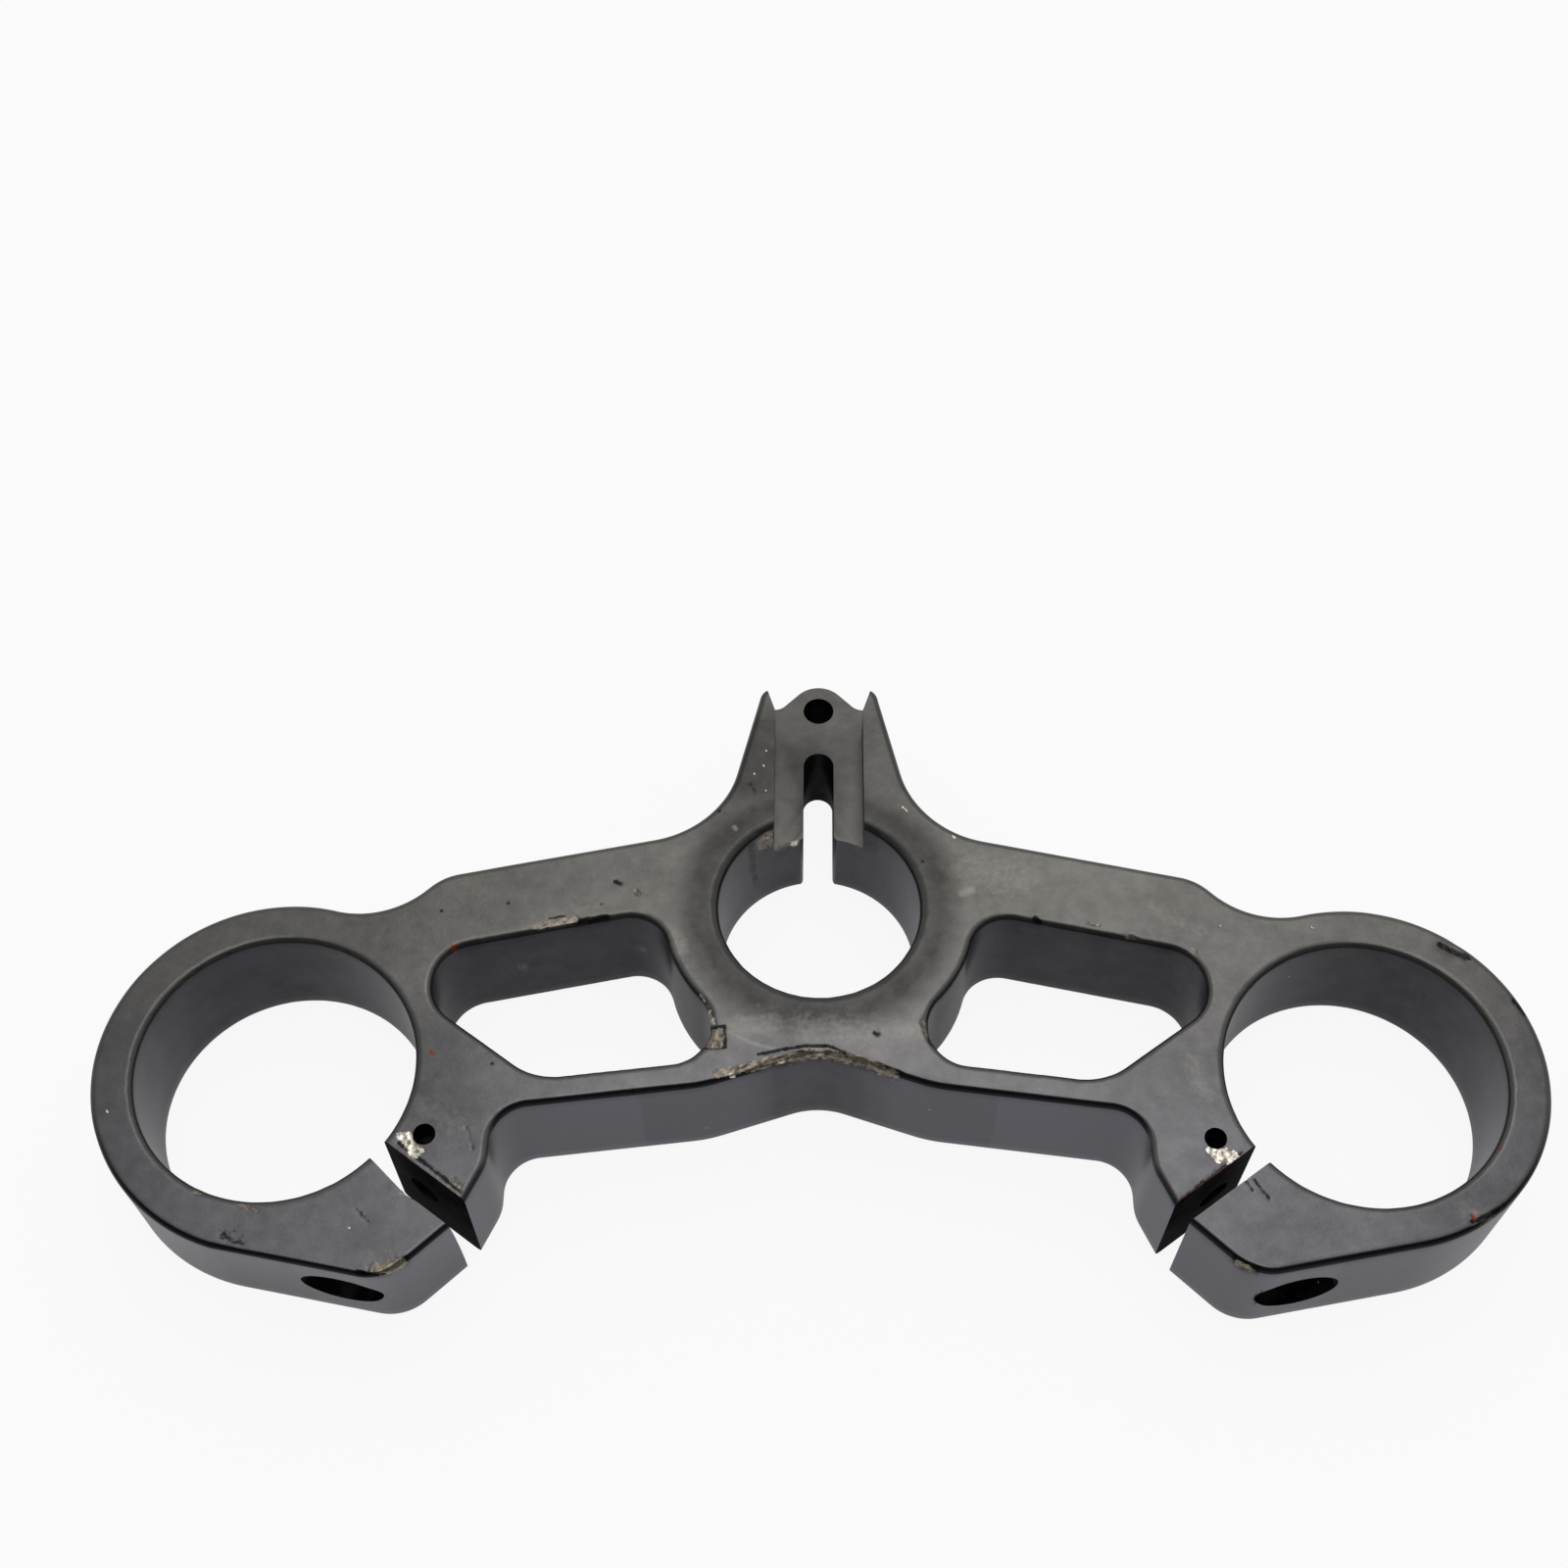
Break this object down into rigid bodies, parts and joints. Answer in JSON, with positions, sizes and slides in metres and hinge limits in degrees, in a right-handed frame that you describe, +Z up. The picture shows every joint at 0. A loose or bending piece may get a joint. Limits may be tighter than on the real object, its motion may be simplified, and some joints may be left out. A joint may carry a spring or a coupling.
{
  "type": "motorcycle triple clamp",
  "caption": "Upper triple clamp of an off-road motorcycle: a machined plate with split fork clamps, a split stem bore, two windows and a channelled tail.",
  "frame": {"origin": "on the steering stem's axis, in the plane of the underside, at the lower end of the stem bore", "axes": "+Z up along the fork and stem axes, +Y from the stem towards the tail, +X to the right seen from the front of the fork looking along +Y"},
  "size_m": [0.2736, 0.1303, 0.028],
  "materials": {
    "triple_clamp": "dark grey anodised satin, worn at the edges"
  },
  "bodies": {
    "root": {"triple_clamp": "triple_clamp"}
  },
  "joints": []
}
